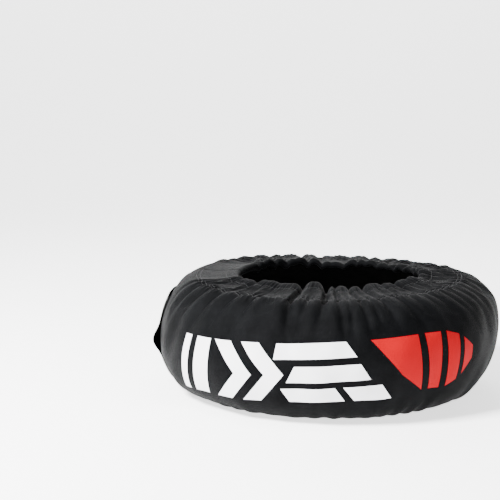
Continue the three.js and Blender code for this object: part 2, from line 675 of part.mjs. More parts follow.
// Crimp that joins a tail of the heating tape to the supply lead: a waisted barrel
function crimp() {
  const waist = CRIMP_RADIUS * 0.8;
  const half = CRIMP_LENGTH / 2;
  const profile = [
    [0, -half],
    [CRIMP_RADIUS, -half],
    [CRIMP_RADIUS, -half / 2],
    [waist, -half / 4],
    [waist, half / 4],
    [CRIMP_RADIUS, half / 2],
    [CRIMP_RADIUS, half],
    [0, half],
  ];
  return new THREE.LatheGeometry(profile.map(([r, y]) => new THREE.Vector2(r, y)), LATHE_STEPS).rotateZ(-Math.PI / 2);
}

// Grommet: two flanges hold the cover between them, and a short boot carries the lead's bore outward
const grommetSeat = COVER_THICKNESS / 2 + LAYER_GAP;

function grommet() {
  const flange = GROMMET_FLANGE_RADIUS;
  const inside = -grommetSeat - GROMMET_FLANGE_THICKNESS;
  const outside = grommetSeat + GROMMET_FLANGE_THICKNESS;
  const bootRadius = LEAD_BORE_RADIUS + 1.6;
  const profile = [
    [LEAD_BORE_RADIUS, inside],
    [flange, inside],
    [flange, -grommetSeat],
    [GROMMET_NECK_RADIUS, -grommetSeat],
    [GROMMET_NECK_RADIUS, grommetSeat],
    [flange, grommetSeat],
    [flange - 0.8, outside],
    [GROMMET_NECK_RADIUS + 0.6, outside],
    [bootRadius, outside + GROMMET_BOOT_LENGTH],
    [LEAD_BORE_RADIUS, outside + GROMMET_BOOT_LENGTH],
    [LEAD_BORE_RADIUS, inside],
  ];
  return new THREE.LatheGeometry(profile.map(([r, y]) => new THREE.Vector2(r, y)), LATHE_STEPS).rotateX(Math.PI / 2);
}

const grommetStation = lastBand / 2 - 0.5;
const grommetColumn = CORE_STEPS - TERMINAL_BAY_COLUMNS / 2 - 0.5;

function grommetFrame() {
  const step = (stripEnd - stripStart) / CORE_STEPS;
  const angle = stripStart + step * grommetColumn;
  const depth = COVER_THICKNESS / 2;
  const at = (s, a) => surfacePoint(bandStations, s, a, -depth);
  const origin = at(grommetStation, angle);
  const along = at(grommetStation, angle + 0.02).sub(at(grommetStation, angle - 0.02)).normalize();
  const up = at(grommetStation + 0.2, angle).sub(at(grommetStation - 0.2, angle));
  const out = new THREE.Vector3().crossVectors(along, up).normalize();
  const across = new THREE.Vector3().crossVectors(out, along);
  return new THREE.Matrix4().makeBasis(along, across, out).setPosition(origin);
}

// Booleans
const wasm = await Module();
wasm.setup();

function toManifold(geometry) {
  const bare = geometry.clone();
  bare.deleteAttribute('normal');
  bare.deleteAttribute('uv');
  const merged = mergeVertices(bare, 1e-4);
  const mesh = new wasm.Mesh({
    numProp: 3,
    vertProperties: new Float32Array(merged.attributes.position.array),
    triVerts: new Uint32Array(merged.index.array),
  });
  return new wasm.Manifold(mesh);
}

function fromManifold(solid) {
  const mesh = solid.getMesh();
  const geometry = new THREE.BufferGeometry();
  geometry.setAttribute('position', new THREE.BufferAttribute(new Float32Array(mesh.vertProperties), 3));
  geometry.setIndex(new THREE.BufferAttribute(new Uint32Array(mesh.triVerts), 1));
  geometry.computeVertexNormals();
  return geometry;
}

function join(a, b) {
  return fromManifold(toManifold(a).add(toManifold(b)));
}

function cut(body, tool) {
  return fromManifold(toManifold(body).subtract(toManifold(tool)));
}

function coverWithLeadHole() {
  const radius = GROMMET_NECK_RADIUS + GROMMET_CLEARANCE;
  const drill = new THREE.CylinderGeometry(radius, radius, COVER_THICKNESS * 6, 24).rotateX(Math.PI / 2);
  drill.applyMatrix4(grommetFrame());
  return cut(coverBand(), drill);
}

// Assembly
const warmer = new THREE.Group();

function add(name, geometry, material, matrix) {
  const mesh = new THREE.Mesh(geometry, material);
  mesh.name = name;
  if (matrix) mesh.applyMatrix4(matrix);
  warmer.add(mesh);
}

add('cover_band', coverWithLeadHole(), coverCloth);
add('upper_skirt', upperSkirtCloth(), skirtCloth);
add('lower_skirt', lowerSkirtCloth(), skirtCloth);
add('upper_elastic', upperElastic(), elasticCloth);
add('lower_elastic', lowerElastic(), elasticCloth);
add('felt_padding', felt(), feltPadding);
add('heating_tape', heatingTape(), carbonTape);
add('inner_lining', lining(), liningCloth);

add('closure_flap', closureFlap(), coverCloth);
add('closure_hook_tape', tape(hookOuter, hookInner), tapeCloth);
add('closure_loop_tape', tape(loopOuter, LAYER_GAP), tapeCloth);
const upperFastening = hemFastening(upperSkirt, SKIRT_STEPS / 2);
add('upper_hem_tab', upperFastening.tab, tapeCloth);
add('upper_hem_loop_patch', upperFastening.patch, tapeCloth);
const lowerFastening = hemFastening(lowerSkirt, pleatStation);
add('lower_hem_tab', lowerFastening.tab, tapeCloth);
add('lower_hem_loop_patch', lowerFastening.patch, tapeCloth);

add('end_binding_1', endBinding(stripStart, 1), tapeCloth);
add('end_binding_2', endBinding(stripEnd, -1), tapeCloth);

const thermostatFrame = facetFrame(lastBand / 2 + 0.5, bayMiddleColumn, bayDepth);
const fuseStation = lastBand / 2 + 0.16;
const fuseFrame = facetFrame(fuseStation, bayMiddleColumn, bayDepth);
const tailEnd = tailColumn + (CRIMP_LENGTH / 2 + 1) / columnLength;
const crimpFrames = [passStation(0), passStation(HEATER_PASSES - 1)].map((s) => facetFrame(s, tailEnd, bayDepth));
add('thermostat', thermostat(), phenolic, thermostatFrame);
add('thermal_fuse', fuse(), tinned, fuseFrame);
add('supply_crimp_1', crimp(), tinned, crimpFrames[0]);
add('supply_crimp_2', crimp(), tinned, crimpFrames[1]);

// A terminal is a point on a piece's long axis, past its end, and the direction in which a wire leaves it
function terminal(frame, length, end) {
  const reach = length / 2 + WIRE_CLEARANCE;
  const direction = new THREE.Vector3(end, 0, 0).transformDirection(frame);
  return [new THREE.Vector3(end * reach, 0, 0).applyMatrix4(frame), direction];
}

const nearEnds = [terminal(fuseFrame, FUSE_LENGTH, -1), terminal(thermostatFrame, THERMOSTAT_LENGTH, -1)];
const farEnds = [terminal(fuseFrame, FUSE_LENGTH, 1), terminal(thermostatFrame, THERMOSTAT_LENGTH, 1)];
const crimpEnds = crimpFrames.map((frame) => terminal(frame, CRIMP_LENGTH, 1));
const farColumn = bayMiddleColumn + 0.35;
const nearColumn = bayMiddleColumn - 0.3;
const lowerWay = [passStation(0) + 0.5, passStation(0) + 1, lastBand / 2].map((s) => [s, farColumn]);
const upperWay = [[passStation(HEATER_PASSES - 1) - 0.5, farColumn]];
add('jumper_wire_1', jumper(crimpEnds[0], lowerWay, farEnds[0]), wireSleeve);
add('jumper_wire_2', jumper(nearEnds[0], [[fuseStation + 0.17, nearColumn]], nearEnds[1]), wireSleeve);
add('jumper_wire_3', jumper(crimpEnds[1], upperWay, farEnds[1]), wireSleeve);
add('lead_grommet', grommet(), blackRubber, grommetFrame());

export default warmer;
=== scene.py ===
"""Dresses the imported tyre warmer: simulated cloth, seams, print and closure, on a pale floor."""

import math

import bpy
import numpy as np
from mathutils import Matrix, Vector


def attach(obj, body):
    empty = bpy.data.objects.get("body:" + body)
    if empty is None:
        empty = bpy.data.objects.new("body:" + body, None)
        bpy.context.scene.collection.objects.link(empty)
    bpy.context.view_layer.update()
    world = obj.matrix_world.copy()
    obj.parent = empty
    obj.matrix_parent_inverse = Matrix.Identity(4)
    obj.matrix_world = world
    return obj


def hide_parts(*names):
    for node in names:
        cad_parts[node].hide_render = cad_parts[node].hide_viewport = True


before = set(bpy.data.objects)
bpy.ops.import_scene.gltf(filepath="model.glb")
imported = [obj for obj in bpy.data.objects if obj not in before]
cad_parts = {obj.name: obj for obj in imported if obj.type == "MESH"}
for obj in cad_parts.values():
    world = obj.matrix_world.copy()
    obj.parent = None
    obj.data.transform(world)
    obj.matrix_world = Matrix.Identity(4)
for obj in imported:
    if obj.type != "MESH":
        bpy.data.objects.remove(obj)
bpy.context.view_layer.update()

# Ring's section, in metres, as in the solids
SEAM_RADIUS = 0.242
BELLY_REACH = 0.072
BELLY_HEIGHT = 0.108
SHOULDER_RISE = 0.098
UPPER_HEM_RADIUS = 0.173
UPPER_HEM_LIFT = 0.002
UPPER_SKIRT_SAG = 0.003
LOWER_HEM_RADIUS = 0.180
AXIS_X = 0.0059
AXIS_Y = -0.0006
CLOSURE_ANGLE = math.radians(168)
END_GAP = 0.003
PAD_THICKNESS = 0.0135
PAD_TUCK = 0.005
CLOTH_THICKNESS = 0.0013
SEAM_HEIGHT = BELLY_HEIGHT + SHOULDER_RISE
BELLY_RADIUS = SEAM_RADIUS + BELLY_REACH
LEAN = 0.020

# Cloth grid: columns run along the strip, rows from the lower hem over the band to the upper hem
COLUMNS = 440
LOWER_ROWS = 12
BAND_ROWS = 56
UPPER_ROWS = 15
HEM_ROLL_ROWS = 5
HEM_ROLL = 0.0065

# Camera, fitted to the photograph
CAMERA_PLACE = (-0.1401, -2.1006, 0.570)
CAMERA_PITCH = math.radians(8.6)
CAMERA_LENS = 81.65


def add_camera():
    data = bpy.data.cameras.new("view_camera")
    data.lens = CAMERA_LENS
    data.sensor_width = 36
    data.clip_end = 30
    camera = bpy.data.objects.new("view_camera", data)
    camera.location = CAMERA_PLACE
    camera.rotation_euler = (math.pi / 2 - CAMERA_PITCH, 0, 0)
    bpy.context.scene.collection.objects.link(camera)
    bpy.context.scene.camera = camera


add_camera()


def smooth(low, high, x):
    share = np.clip((x - low) / (high - low), 0, 1)
    return share * share * (3 - 2 * share)


# Slow waves of the ring, as in the solids
def rim_wave(angle):
    return 0.016 * (0.6 * np.sin(2 * angle + 2.6) + 0.4 * np.sin(3 * angle + 0.5))


def oval_wave(angle):
    return 0.003 * (0.6 * np.cos(2 * angle + 0.4) + 0.4 * np.sin(3 * angle + 2.1))


def on_ring(radius, height, angle):
    r = radius + oval_wave(angle)
    lean = LEAN * np.cos(angle) * np.sin(math.pi * np.clip(height / SEAM_HEIGHT, 0, 1))
    z = height * (1 + rim_wave(angle)) + lean
    return np.stack([AXIS_X + r * np.cos(angle), AXIS_Y + r * np.sin(angle), z], -1)


def evenly(points, count):
    """count + 1 points at even steps of arc length along a polyline."""
    steps = np.linalg.norm(np.diff(points, axis=0), axis=1)
    run = np.concatenate([[0], np.cumsum(steps)])
    at = np.linspace(0, run[-1], count + 1)
    return np.stack([np.interp(at, run, points[:, k]) for k in range(2)], -1)


def section_rows():
    """(radius, height) of each row, and the row numbers of the two seams and the upper hem."""
    turn = np.linspace(-math.pi / 2, math.pi / 2, 400)
    rise = np.where(turn < 0, BELLY_HEIGHT, SHOULDER_RISE)
    band = np.stack([SEAM_RADIUS + BELLY_REACH * np.cos(turn), BELLY_HEIGHT + rise * np.sin(turn)], -1)
    floor = np.array([[LOWER_HEM_RADIUS, 0.0], [SEAM_RADIUS, 0.0]])
    share = np.linspace(0, 1, 60)[:, None]
    start = np.array([SEAM_RADIUS, SEAM_HEIGHT])
    middle = np.array([(SEAM_RADIUS + UPPER_HEM_RADIUS) / 2, SEAM_HEIGHT - UPPER_SKIRT_SAG])
    end = np.array([UPPER_HEM_RADIUS, SEAM_HEIGHT + UPPER_HEM_LIFT])
    upper = (1 - share) ** 2 * start + 2 * share * (1 - share) * middle + share**2 * end
    inward = (end - middle) / np.linalg.norm(end - middle)
    down = np.array([inward[1], -inward[0]])
    down = down if down[1] < 0 else -down
    roll = [end + down * HEM_ROLL + HEM_ROLL * (inward * math.sin(a) - down * math.cos(a))
            for a in np.linspace(0, math.pi, HEM_ROLL_ROWS + 1)]
    back = roll[-1] - inward * 0.012
    parts = [evenly(floor, LOWER_ROWS), evenly(band, BAND_ROWS)[1:], evenly(upper, UPPER_ROWS)[1:],
             np.array(roll[1:]), back[None]]
    first = LOWER_ROWS
    second = first + BAND_ROWS
    return np.concatenate(parts), first, second, second + UPPER_ROWS


rows, LOWER_SEAM, UPPER_SEAM, UPPER_HEM = section_rows()
row_steps = np.linalg.norm(np.diff(rows, axis=0), axis=1)
row_run = np.concatenate([[0], np.cumsum(row_steps)])
BELLY_ROW = LOWER_SEAM + int(np.argmax(rows[LOWER_SEAM:UPPER_SEAM, 0]))

half_gap = END_GAP / 2 / SEAM_RADIUS
strip_angles = np.linspace(CLOSURE_ANGLE + half_gap, CLOSURE_ANGLE + 2 * math.pi - half_gap, COLUMNS + 1)


def from_closure(angle):
    return np.abs((angle - CLOSURE_ANGLE + math.pi) % (2 * math.pi) - math.pi)


def calm(angle):
    return smooth(0.3, 0.52, from_closure(angle))


# Creases of the gathered seam, in front: degrees from the front towards +X, depth in mm, half width in
# degrees, share of the shoulder that each runs down, its sideways drift on the way in degrees, and how much
# of it reaches the upper hem
FRONT_CREASES = [
    (-76, 6, 2.4, 1.1, -7, 0.6), (-68, 8, 2.2, 0.9, -8, 1.0), (-59, 5, 2.6, 1.2, -9, 0.2),
    (-50, 8, 2.4, 0.9, -9, 1.1), (-41, 8, 2.0, 0.9, -9, 0.2), (-33, 7, 1.9, 1.0, -6, 0.3),
    (-27, 3, 2.0, 0.4, -3, 0.1), (-18.5, 11, 1.6, 0.85, 3, 1.0), (-11, 6, 1.5, 1.0, -5, 0.1),
    (-4.8, 11, 1.6, 0.6, -4, 1.4), (0.5, 8, 1.2, 0.8, 1, 0.7), (4.0, 5, 1.1, 0.9, 0.5, 0.1),
    (8.5, 9, 1.3, 0.8, 2, 0.6), (12.0, 5, 1.1, 0.6, 3, 0.1), (16.5, 8, 1.4, 0.7, 5, 1.1),
    (23, 5, 1.3, 0.8, 9, 0.1), (29, 5, 1.4, 0.6, 8, 0.7), (34, 3.5, 1.3, 1.0, 10, 0.1),
    (39, 5, 1.5, 0.8, 9, 1.0), (45, 4, 1.4, 1.2, 9, 0.2), (50, 4.5, 1.5, 0.9, 7, 1.0),
    (56, 4, 1.6, 1.3, 6, 0.2), (62, 5.5, 1.6, 1.0, 5, 1.0), (69, 4, 1.7, 1.3, 3, 0.3),
    (76, 5, 1.8, 1.0, 2, 0.9), (83, 6, 1.7, 1.1, 0, 1.0),
]
FIRST_BACK_CREASE = 91
LAST_BACK_CREASE = 277
BACK_CREASE_STEP = 8.2


def back_crease(k):
    """Creases round the back: the same kind, with sizes that vary by waves."""
    at = FIRST_BACK_CREASE + BACK_CREASE_STEP * k + 1.3 * math.sin(2.1 * k)
    deep = 6.5 + 2.5 * math.sin(1.7 * k + 1)
    return (at, deep, 1.8 + 0.4 * math.sin(2.9 * k), 0.9 + 0.3 * math.sin(1.1 * k), 4 * math.sin(0.9 * k),
            0.75 + 0.35 * math.sin(2.3 * k))


back_count = int((LAST_BACK_CREASE - FIRST_BACK_CREASE) / BACK_CREASE_STEP) + 1
creases = FRONT_CREASES + [back_crease(k) for k in range(back_count)]

# Puff of the shoulder and dips of its seams, and the upper hem's slow rise and fall, with one higher bump
SHOULDER_PUFF = 0.0035
SEAM_DIP = 0.0022
CASING_DIP = 0.0016
RUFFLE_WAVE = 0.005
RUFFLE_PUFF = 0.006
RUFFLE_BUMP = 0.006
RUFFLE_BUMP_AT = -30
RUFFLE_BUMP_WIDTH = 16
PUCKER_DEPTH = 0.0014
DENT_DEPTH = 0.0011


def crease_depth(angle, row):
    """How deep the creases are at each column and row, in metres: 0 on the puffs between them."""
    front = np.degrees(angle)[:, None] + 90
    down = np.clip((UPPER_SEAM - row) / (UPPER_SEAM - BELLY_ROW), 0, 2)[None, :]
    up = np.clip((row - UPPER_SEAM) / (UPPER_HEM - UPPER_SEAM), 0, 1)[None, :]
    depth = np.zeros((len(angle), len(row)))
    for at, deep, wide, long, drift, reach in creases:
        away = (front - at - drift * down + 180) % 360 - 180
        fade = smooth(long * 1.2, long * 0.1, down)
        width = wide * (1 + 0.9 * down + 0.35 * up)
        climb = (1 - up + up * reach) * (1 + 0.45 * up)
        depth += 0.001 * deep * fade * climb * np.exp(-np.abs(away / width) ** 1.4)
    return depth * calm(angle)[:, None]


def lower_pucker(angle, row):
    """Small gathers above the lower seam, under the belly."""
    near = np.exp(-(((row - LOWER_SEAM - 5) / 6.0) ** 2))[None, :]
    wave = np.sin(53 * angle + 2.2 * np.sin(5 * angle)) * (0.6 + 0.4 * np.sin(11 * angle + 1)) - 1
    return PUCKER_DEPTH * near * (wave * calm(angle))[:, None]


def dents(angle, row):
    """Broad shallow waves of the padding and its cover."""
    a = angle[:, None]
    t = ((row - LOWER_SEAM) / (UPPER_SEAM - LOWER_SEAM))[None, :]
    inside = np.clip(4 * t * (1 - t), 0, 1) ** 0.7
    wave = np.sin(9 * a + 3.1 * t + 0.6) + 0.8 * np.sin(14 * a - 5.3 * t + 2.2)
    wave += 0.6 * np.sin(23 * a + 6.7 * t)
    wave += 0.5 * np.sin(31 * a - 9.1 * t + 1.1)
    return DENT_DEPTH * wave * inside * calm(angle)[:, None]


def ruffle(angle):
    """Slow rise and fall of the upper hem."""
    front = np.degrees(angle) + 90
    bump = np.exp(-((((front - RUFFLE_BUMP_AT + 180) % 360 - 180) / RUFFLE_BUMP_WIDTH) ** 2))
    wave = 0.5 * np.sin(7 * angle + 0.7) + 0.5 * np.sin(11 * angle + 2.0)
    return (RUFFLE_WAVE * wave + RUFFLE_BUMP * bump) * calm(angle)


def hem_puff(angle):
    """The upper hem stands higher in front."""
    return RUFFLE_PUFF * (0.55 - 0.45 * np.sin(angle)) * calm(angle)


def folded(rows_rz, angle):
    """The gathered form before the cloth is settled."""
    row = np.arange(len(rows_rz))
    tangent = np.gradient(rows_rz, axis=0)
    tangent /= np.linalg.norm(tangent, axis=1, keepdims=True)
    normal = np.stack([tangent[:, 1], -tangent[:, 0]], -1)
    shoulder = smooth(BELLY_ROW + 2, UPPER_SEAM - 4, row)
    puff = SHOULDER_PUFF * shoulder
    seam = SEAM_DIP * np.exp(-(((row - UPPER_SEAM) / 1.2) ** 2))
    casing = CASING_DIP * np.exp(-(((row - UPPER_HEM + 4) / 1.0) ** 2))
    soft = calm(angle)[:, None]
    lift = (puff - seam - casing)[None, :] * soft - crease_depth(angle, row)
    lift += lower_pucker(angle, row) + dents(angle, row)
    hem = np.clip((row - UPPER_SEAM) / (UPPER_HEM - UPPER_SEAM), 0, 1)[None, :]
    lift += hem * (ruffle(angle) + hem_puff(angle))[:, None]
    normal_r = normal[None, :, 0] * (1 - hem)
    normal_z = normal[None, :, 1] * (1 - hem) + hem
    r = rows_rz[None, :, 0] + lift * normal_r
    z = rows_rz[None, :, 1] + lift * normal_z
    return on_ring(r, np.maximum(z, 0.0), angle[:, None])


def grid_faces(columns, rows_count):
    first = (np.arange(columns - 1)[:, None] * rows_count + np.arange(rows_count - 1)[None, :]).ravel()
    return np.stack([first, first + rows_count, first + rows_count + 1, first + 1], -1)


def mesh_object(name, points, faces, uv=None):
    """A mesh object from an array of points and an array or list of faces, with uv given for each point."""
    mesh = bpy.data.meshes.new(name)
    mesh.from_pydata(np.asarray(points, float).tolist(), [], [list(map(int, f)) for f in faces])
    mesh.validate()
    if uv is not None:
        layer = mesh.uv_layers.new(name="cloth")
        index = np.zeros(len(mesh.loops), np.int32)
        mesh.loops.foreach_get("vertex_index", index)
        layer.data.foreach_set("uv", np.asarray(uv, np.float32)[index].ravel())
    mesh.shade_smooth()
    thing = bpy.data.objects.new(name, mesh)
    bpy.context.scene.collection.objects.link(thing)
    return thing


def cut_radius(row):
    """Radius of the strip as it was cut, before its elastic drew it in."""
    seam = SEAM_RADIUS * 1.17
    hem = UPPER_HEM_RADIUS * 1.42
    belly = np.clip((row - BELLY_ROW) / (UPPER_SEAM - BELLY_ROW), 0, 1)
    skirt = np.clip((row - UPPER_SEAM) / (UPPER_HEM - UPPER_SEAM), 0, 1)
    radius = np.maximum(rows[:, 0], BELLY_RADIUS * (1 - belly) + seam * belly)
    upper = np.where(row > UPPER_SEAM, seam * (1 - skirt) + hem * skirt, radius)
    return np.where(row < BELLY_ROW, rows[:, 0] * 1.004, upper)


SETTLE_FRAMES = 16
HOLD_LEVELS = 20


def settle(points, angle):
    """Cloth simulation: the cut strip is longer than the form it is held to, so it buckles into folds."""
    columns, count = points.shape[:2]
    row = np.arange(count)
    cloth = mesh_object("settling_cloth", points.reshape(-1, 3), grid_faces(columns, count))
    flat = np.stack([AXIS_X + cut_radius(row)[None, :] * np.cos(angle)[:, None],
                     AXIS_Y + cut_radius(row)[None, :] * np.sin(angle)[:, None],
                     np.broadcast_to(row_run, (columns, count))], -1)
    cloth.shape_key_add(name="Basis")
    key = cloth.shape_key_add(name="as_cut")
    key.data.foreach_set("co", flat.reshape(-1, 3).astype(np.float32).ravel())
    key.value = 0.0
    shoulder = smooth(BELLY_ROW - 4, UPPER_SEAM - 8, row)
    hold = 0.9 * (1 - shoulder) + 0.05 * shoulder
    hold = np.where(np.abs(row - UPPER_SEAM) < 1, 0.5, hold)
    hold = np.where(row > UPPER_SEAM, 0.08, hold)
    hold = np.where(row >= UPPER_HEM - 1, 0.75, hold)
    hold = np.where(row < LOWER_SEAM, 1.0, hold)
    weight = np.maximum(hold[None, :], 1 - calm(angle)[:, None])
    group = cloth.vertex_groups.new(name="hold")
    levels = np.round(weight.ravel() * HOLD_LEVELS).astype(int)
    for level in np.unique(levels):
        group.add(np.nonzero(levels == level)[0].tolist(), level / HOLD_LEVELS, "REPLACE")
    cloth_modifier = cloth.modifiers.new("settle", "CLOTH")
    s = cloth_modifier.settings
    s.quality = 6
    s.mass = 0.15
    s.tension_stiffness = 20
    s.compression_stiffness = 20
    s.shear_stiffness = 8
    s.bending_stiffness = 0.8
    s.tension_damping = 8
    s.compression_damping = 8
    s.shear_damping = 8
    s.air_damping = 3
    s.vertex_group_mass = "hold"
    s.pin_stiffness = 1.0
    s.rest_shape_key = key
    s.use_pressure = True
    s.uniform_pressure_force = 1.5
    s.effector_weights.gravity = 0.25
    cloth_modifier.collision_settings.use_collision = False
    cloth_modifier.collision_settings.use_self_collision = False
    cloth_modifier.point_cache.frame_end = SETTLE_FRAMES
    scene = bpy.context.scene
    for number in range(1, SETTLE_FRAMES + 1):
        scene.frame_set(number)
    settled = cloth.evaluated_get(bpy.context.evaluated_depsgraph_get())
    out = np.zeros(columns * count * 3, np.float32)
    settled.data.vertices.foreach_get("co", out)
    scene.frame_set(1)
    bpy.data.objects.remove(cloth)
    out = out.reshape(columns, count, 3).astype(float)
    out[..., 2] = np.maximum(out[..., 2], points[..., 2].min())
    return out


def finer(points):
    """Twice as many steps each way, on a smooth curve through the points."""
    for axis in (0, 1):
        p = np.moveaxis(points, axis, 0)
        before = np.concatenate([2 * p[:1] - p[1:2], p[:-2]])
        after = np.concatenate([p[2:], 2 * p[-1:] - p[-2:-1]])
        middle = (9 * (p[:-1] + p[1:]) - before - after) / 16
        out = np.empty((2 * len(p) - 1, *p.shape[1:]))
        out[0::2] = p
        out[1::2] = middle
        points = np.moveaxis(out, 0, axis)
    return points


form = folded(rows, strip_angles)
settled = settle(form, strip_angles)
cloth = finer(settled)
FINE_COLUMNS, FINE_ROWS = cloth.shape[:2]
fine_angles = np.linspace(strip_angles[0], strip_angles[-1], FINE_COLUMNS)
fine_run = np.interp(np.arange(FINE_ROWS) / 2, np.arange(len(row_run)), row_run)


def unit_normals(grid):
    out = np.cross(np.gradient(grid, axis=0), np.gradient(grid, axis=1))
    return out / np.maximum(np.linalg.norm(out, axis=2, keepdims=True), 1e-12)


# Fine gathers where the thread and the elastic draw the cloth in
GATHER_DEPTH = 0.0006
GATHER_REACH = 0.011


def fine_gathers():
    """Small waves of the cloth on both sides of the upper seam and at the hem's channel."""
    a = fine_angles
    wave = np.sin(151 * a + 3 * np.sin(17 * a)) + 0.8 * np.sin(211 * a + 2 * np.sin(13 * a))
    wave += 0.6 * np.sin(97 * a + 2.5 * np.sin(7 * a + 1))
    lines = (row_run[UPPER_SEAM] - 0.006, row_run[UPPER_SEAM] + 0.008, row_run[UPPER_HEM] - 0.014)
    near = sum(np.exp(-(((fine_run - line) / GATHER_REACH) ** 2)) for line in lines)
    return GATHER_DEPTH * (wave * calm(a))[:, None] * near[None, :]


cloth = cloth + unit_normals(cloth) * fine_gathers()[..., None]
normals = unit_normals(cloth)
cloth_uv = np.stack([np.broadcast_to((fine_angles * BELLY_RADIUS)[:, None], (FINE_COLUMNS, FINE_ROWS)),
                     np.broadcast_to(fine_run[None, :], (FINE_COLUMNS, FINE_ROWS))], -1)


def on_cloth(angle, run, offset=0.0):
    """Points on the settled cloth at angles and lengths along the section, offset outwards."""
    turned = (np.asarray(angle) - fine_angles[0] + half_gap) % (2 * math.pi) - half_gap
    column = np.clip(turned / (fine_angles[1] - fine_angles[0]), 0, FINE_COLUMNS - 1.0001)
    row = np.clip(np.interp(run, fine_run, np.arange(FINE_ROWS)), 0, FINE_ROWS - 1.0001)
    i, j = np.floor(column).astype(int), np.floor(row).astype(int)
    a, b = (column - i)[..., None], (row - j)[..., None]

    def mixed(grid):
        near = grid[i, j] * (1 - b) + grid[i, j + 1] * b
        far = grid[i + 1, j] * (1 - b) + grid[i + 1, j + 1] * b
        return near * (1 - a) + far * a

    return mixed(cloth) + mixed(normals) * np.asarray(offset)[..., None]


# Materials
def principled(name, color, roughness, **sockets):
    material = bpy.data.materials.new(name)
    material.use_nodes = True
    shader = material.node_tree.nodes["Principled BSDF"]
    shader.inputs["Base Color"].default_value = (*color, 1)
    shader.inputs["Roughness"].default_value = roughness
    for socket, value in sockets.items():
        shader.inputs[socket.replace("_", " ")].default_value = value
    return material, material.node_tree, shader


def link(tree, out_node, out_name, in_node, in_name):
    tree.links.new(out_node.outputs[out_name], in_node.inputs[in_name])


def math_node(tree, operation, *values):
    node = tree.nodes.new("ShaderNodeMath")
    node.operation = operation
    for k, value in enumerate(values):
        if isinstance(value, (int, float)):
            node.inputs[k].default_value = value
        else:
            tree.links.new(value, node.inputs[k])
    return node.outputs[0]


def woven(name, dark, light, roughness, pitch, depth, sheen):
    """Plain woven cloth: a weave along the strip's own directions, soft colour clouds and fine creases."""
    material, tree, shader = principled(name, dark, roughness, Sheen_Weight=sheen, Sheen_Roughness=0.45,
                                        Specular_IOR_Level=0.015)
    uv = tree.nodes.new("ShaderNodeUVMap")
    uv.uv_map = "cloth"
    place = tree.nodes.new("ShaderNodeTexCoord")
    split = tree.nodes.new("ShaderNodeSeparateXYZ")
    link(tree, uv, "UV", split, "Vector")
    warp = math_node(tree, "SINE", math_node(tree, "MULTIPLY", split.outputs["X"], 2 * math.pi / pitch))
    weft = math_node(tree, "SINE", math_node(tree, "MULTIPLY", split.outputs["Y"], 2 * math.pi / pitch))
    weave = math_node(tree, "MULTIPLY", warp, weft)
    clouds = tree.nodes.new("ShaderNodeTexNoise")
    clouds.inputs["Scale"].default_value = 26
    clouds.inputs["Detail"].default_value = 6
    clouds.inputs["Roughness"].default_value = 0.62
    link(tree, place, "Object", clouds, "Vector")
    creases = tree.nodes.new("ShaderNodeTexNoise")
    creases.inputs["Scale"].default_value = 95
    creases.inputs["Detail"].default_value = 5
    creases.inputs["Roughness"].default_value = 0.6
    link(tree, place, "Object", creases, "Vector")
    ramp = tree.nodes.new("ShaderNodeValToRGB")
    ramp.color_ramp.elements[0].position = 0.3
    ramp.color_ramp.elements[0].color = (*dark, 1)
    ramp.color_ramp.elements[1].position = 0.72
    ramp.color_ramp.elements[1].color = (*light, 1)
    link(tree, clouds, "Fac", ramp, "Fac")
    link(tree, ramp, "Color", shader, "Base Color")
    fine = tree.nodes.new("ShaderNodeBump")
    fine.inputs["Strength"].default_value = 0.5
    fine.inputs["Distance"].default_value = depth
    tree.links.new(weave, fine.inputs["Height"])
    coarse = tree.nodes.new("ShaderNodeBump")
    coarse.inputs["Strength"].default_value = 0.35
    coarse.inputs["Distance"].default_value = 0.0012
    link(tree, creases, "Fac", coarse, "Height")
    link(tree, fine, "Normal", coarse, "Normal")
    link(tree, coarse, "Normal", shader, "Normal")
    return material


def printed(name, color, roughness):
    """Screen print: an even film that lets a little of the weave show."""
    material, tree, shader = principled(name, color, roughness, Specular_IOR_Level=0.03)
    place = tree.nodes.new("ShaderNodeTexCoord")
    grain = tree.nodes.new("ShaderNodeTexNoise")
    grain.inputs["Scale"].default_value = 900
    link(tree, place, "Object", grain, "Vector")
    clouds = tree.nodes.new("ShaderNodeTexNoise")
    clouds.inputs["Scale"].default_value = 30
    link(tree, place, "Object", clouds, "Vector")
    ramp = tree.nodes.new("ShaderNodeValToRGB")
    ramp.color_ramp.elements[0].position = 0.35
    ramp.color_ramp.elements[0].color = (*[0.93 * c for c in color], 1)
    ramp.color_ramp.elements[1].position = 0.65
    ramp.color_ramp.elements[1].color = (*color, 1)
    link(tree, clouds, "Fac", ramp, "Fac")
    link(tree, ramp, "Color", shader, "Base Color")
    bump = tree.nodes.new("ShaderNodeBump")
    bump.inputs["Strength"].default_value = 0.25
    bump.inputs["Distance"].default_value = 0.0003
    link(tree, grain, "Fac", bump, "Height")
    link(tree, bump, "Normal", shader, "Normal")
    return material


